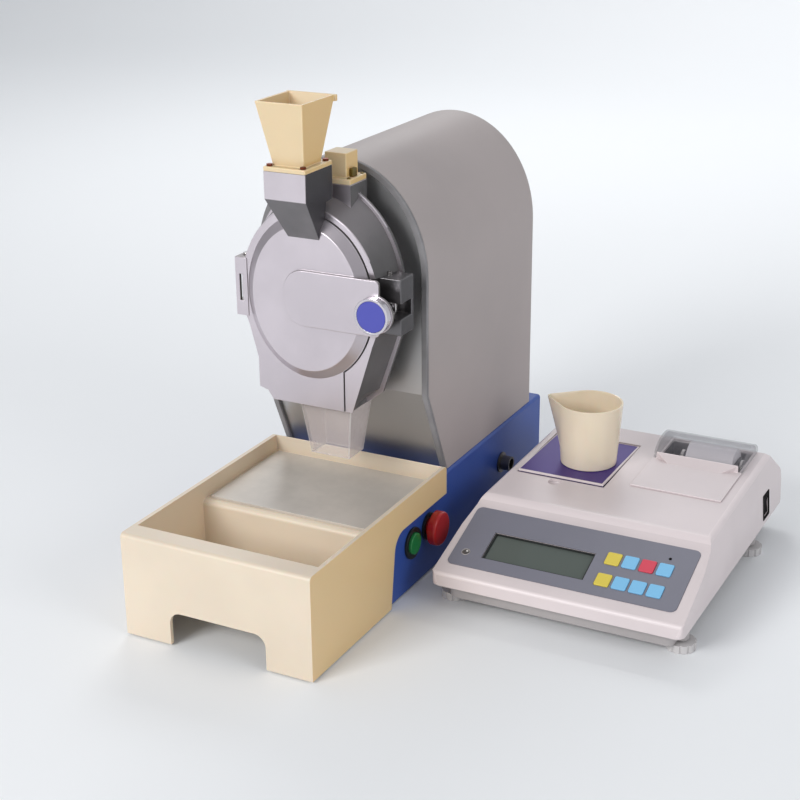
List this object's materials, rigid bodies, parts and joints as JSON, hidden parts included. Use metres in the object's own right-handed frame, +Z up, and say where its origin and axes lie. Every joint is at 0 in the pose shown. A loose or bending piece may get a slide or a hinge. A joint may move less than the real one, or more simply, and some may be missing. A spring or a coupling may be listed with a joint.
{
  "type": "grain hardness tester",
  "caption": "Bench grain hardness tester: hammer mill with hooded drive, swing-open chamber door, hopper and tray, beside a weighing unit with cup, keypad and strip printer.",
  "frame": {"origin": "bottom centre of the box round the whole set, on the bench", "axes": "+X from the mill to the weighing unit, -Y the front with door, tray and keypad, +Z up"},
  "size_m": [0.555, 0.6044, 0.553],
  "materials": {
    "ivory_plastic": "satin",
    "plate_steel": "satin",
    "blue_paint": "satin",
    "grey_paint": "satin",
    "dark_trim": "matt",
    "panel_steel": "brushed",
    "cast_metal": "sand cast",
    "machined_steel": "turned",
    "bright_pin": "polished",
    "clear_plastic": "clear",
    "black_rubber": "matt",
    "motor_paint": "painted",
    "green_plastic": "gloss",
    "red_plastic": "gloss",
    "knob_blue": "satin",
    "unit_plastic": "fine grain",
    "unit_grey": "fine grain",
    "foot_plastic": "satin",
    "overlay_film": "satin",
    "lcd": "dark",
    "key_yellow": "satin",
    "key_blue": "satin",
    "key_red": "satin",
    "pan_violet": "satin",
    "smoky_plastic": "smoky",
    "black_plastic": "satin",
    "paper": "matt",
    "bearing_steel": "polished"
  },
  "bodies": {
    "root": {"balance_base": "unit_grey", "balance_housing": "unit_plastic", "base_plate": "grey_paint", "base_shell": "blue_paint", "button_bodies": "black_plastic", "chamber_housing": "cast_metal", "drive_belt": "black_rubber", "front_panel": "panel_steel", "hinge_pin": "bright_pin", "hood": "grey_paint", "hood_edging": "dark_trim", "interlock_cover": "ivory_plastic", "latch_bracket": "cast_metal", "latch_trunnion": "bright_pin", "lcd_window": "lcd", "load_cell": "machined_steel", "mains_inlet": "black_plastic", "mill_feet": "black_rubber", "motor": "motor_paint", "outlet_chute": "clear_plastic", "panel_overlay": "overlay_film", "printer_lid": "unit_plastic", "printer_mechanism": "black_plastic", "rear_panel": "grey_paint", "side_connector": "machined_steel", "sieve_ring": "machined_steel", "spindle_bearings": "bearing_steel", "spindle_housing": "motor_paint", "tray_cover": "ivory_plastic"},
    "tray_plate": {"tray_plate": "plate_steel"},
    "spindle": {"spindle_shaft": "machined_steel", "rotor_hub": "machined_steel", "beater_bars": "machined_steel", "spindle_pulley": "machined_steel"},
    "motor_rotor": {"motor_pulley": "machined_steel"},
    "door": {"door": "cast_metal", "feed_chute": "cast_metal", "hopper": "ivory_plastic", "hopper_screws": "bright_pin"},
    "lock_knob": {"lock_knob": "machined_steel", "lock_knob_cap": "knob_blue"},
    "start_button": {"start_button": "green_plastic"},
    "stop_button": {"stop_button": "red_plastic"},
    "weigh_pan": {"weigh_pan": "pan_violet"},
    "weigh_cup": {"weigh_cup": "ivory_plastic"},
    "printer_cover": {"printer_cover": "smoky_plastic"},
    "paper_roll": {"paper_roll": "paper"},
    "power_rocker": {"power_rocker": "black_plastic"},
    "level_foot_1": {"level_foot_1": "foot_plastic"},
    "level_foot_2": {"level_foot_2": "foot_plastic"},
    "level_foot_3": {"level_foot_3": "foot_plastic"},
    "level_foot_4": {"level_foot_4": "foot_plastic"},
    "key_1": {"key_1": "key_yellow"},
    "key_2": {"key_2": "key_blue"},
    "key_3": {"key_3": "key_blue"},
    "key_4": {"key_4": "key_blue"},
    "key_5": {"key_5": "key_yellow"},
    "key_6": {"key_6": "key_blue"},
    "key_7": {"key_7": "key_red"},
    "key_8": {"key_8": "key_blue"}
  },
  "joints": [
    {"name": "door_swing", "type": "hinge", "parent": "root", "child": "door", "pos_m": [-0.2475, -0.08125, 0.335], "axis": [0, 0, -1], "range_deg": [0, 105]},
    {"name": "lock_knob_turn", "type": "hinge", "parent": "door", "child": "lock_knob", "pos_m": [-0.0765, -0.10655, 0.331], "axis": [0, -1, 0], "range_deg": [-90, 90]},
    {"name": "motor_spin", "type": "hinge", "parent": "root", "child": "motor_rotor", "pos_m": [-0.1625, 0.11175, 0.19], "axis": [0, 1, 0], "continuous": true},
    {"name": "spindle_spin", "type": "hinge", "parent": "root", "child": "spindle", "pos_m": [-0.1625, 0.11175, 0.335], "axis": [0, 1, 0], "continuous": true},
    {"name": "tray_plate_lift", "type": "slide", "parent": "root", "child": "tray_plate", "axis": [0, 0, 1], "range_m": [0, 0.03]},
    {"name": "start_press", "type": "slide", "parent": "root", "child": "start_button", "axis": [-1, 0, 0], "range_m": [0, 0.003], "stiffness_N_per_m": 600},
    {"name": "stop_press", "type": "slide", "parent": "root", "child": "stop_button", "axis": [-1, 0, 0], "range_m": [0, 0.004], "stiffness_N_per_m": 600},
    {"name": "pan_lift", "type": "slide", "parent": "root", "child": "weigh_pan", "axis": [0, 0, 1], "range_m": [0, 0.06]},
    {"name": "cup_lift", "type": "slide", "parent": "weigh_pan", "child": "weigh_cup", "axis": [0, 0, 1], "range_m": [0, 0.08]},
    {"name": "printer_cover_open", "type": "hinge", "parent": "root", "child": "printer_cover", "pos_m": [0.2035, 0.25225, 0.10183], "axis": [-1, 0, 0], "range_deg": [0, 95]},
    {"name": "paper_roll_spin", "type": "hinge", "parent": "root", "child": "paper_roll", "pos_m": [0.2035, 0.21975, 0.091], "axis": [1, 0, 0], "continuous": true},
    {"name": "power_rocker_tilt", "type": "hinge", "parent": "root", "child": "power_rocker", "pos_m": [0.2685, 0.21275, 0.052], "axis": [0, 1, 0], "range_deg": [-8, 8]},
    {"name": "level_foot_1_turn", "type": "hinge", "parent": "root", "child": "level_foot_1", "pos_m": [-0.0005, -0.06425, 0], "axis": [0, 0, 1], "continuous": true},
    {"name": "level_foot_2_turn", "type": "hinge", "parent": "root", "child": "level_foot_2", "pos_m": [0.2615, -0.06425, 0], "axis": [0, 0, 1], "continuous": true},
    {"name": "level_foot_3_turn", "type": "hinge", "parent": "root", "child": "level_foot_3", "pos_m": [-0.0005, 0.18775, 0], "axis": [0, 0, 1], "continuous": true},
    {"name": "level_foot_4_turn", "type": "hinge", "parent": "root", "child": "level_foot_4", "pos_m": [0.2615, 0.18775, 0], "axis": [0, 0, 1], "continuous": true},
    {"name": "key_1_press", "type": "slide", "parent": "root", "child": "key_1", "axis": [0, 0.3323, -0.9432], "range_m": [0, 0.0008], "stiffness_N_per_m": 500},
    {"name": "key_2_press", "type": "slide", "parent": "root", "child": "key_2", "axis": [0, 0.3323, -0.9432], "range_m": [0, 0.0008], "stiffness_N_per_m": 500},
    {"name": "key_3_press", "type": "slide", "parent": "root", "child": "key_3", "axis": [0, 0.3323, -0.9432], "range_m": [0, 0.0008], "stiffness_N_per_m": 500},
    {"name": "key_4_press", "type": "slide", "parent": "root", "child": "key_4", "axis": [0, 0.3323, -0.9432], "range_m": [0, 0.0008], "stiffness_N_per_m": 500},
    {"name": "key_5_press", "type": "slide", "parent": "root", "child": "key_5", "axis": [0, 0.3323, -0.9432], "range_m": [0, 0.0008], "stiffness_N_per_m": 500},
    {"name": "key_6_press", "type": "slide", "parent": "root", "child": "key_6", "axis": [0, 0.3323, -0.9432], "range_m": [0, 0.0008], "stiffness_N_per_m": 500},
    {"name": "key_7_press", "type": "slide", "parent": "root", "child": "key_7", "axis": [0, 0.3323, -0.9432], "range_m": [0, 0.0008], "stiffness_N_per_m": 500},
    {"name": "key_8_press", "type": "slide", "parent": "root", "child": "key_8", "axis": [0, 0.3323, -0.9432], "range_m": [0, 0.0008], "stiffness_N_per_m": 500}
  ],
  "couplings": [
    {"joint": "spindle_spin", "follows": "motor_spin", "ratio": 1.6}
  ]
}
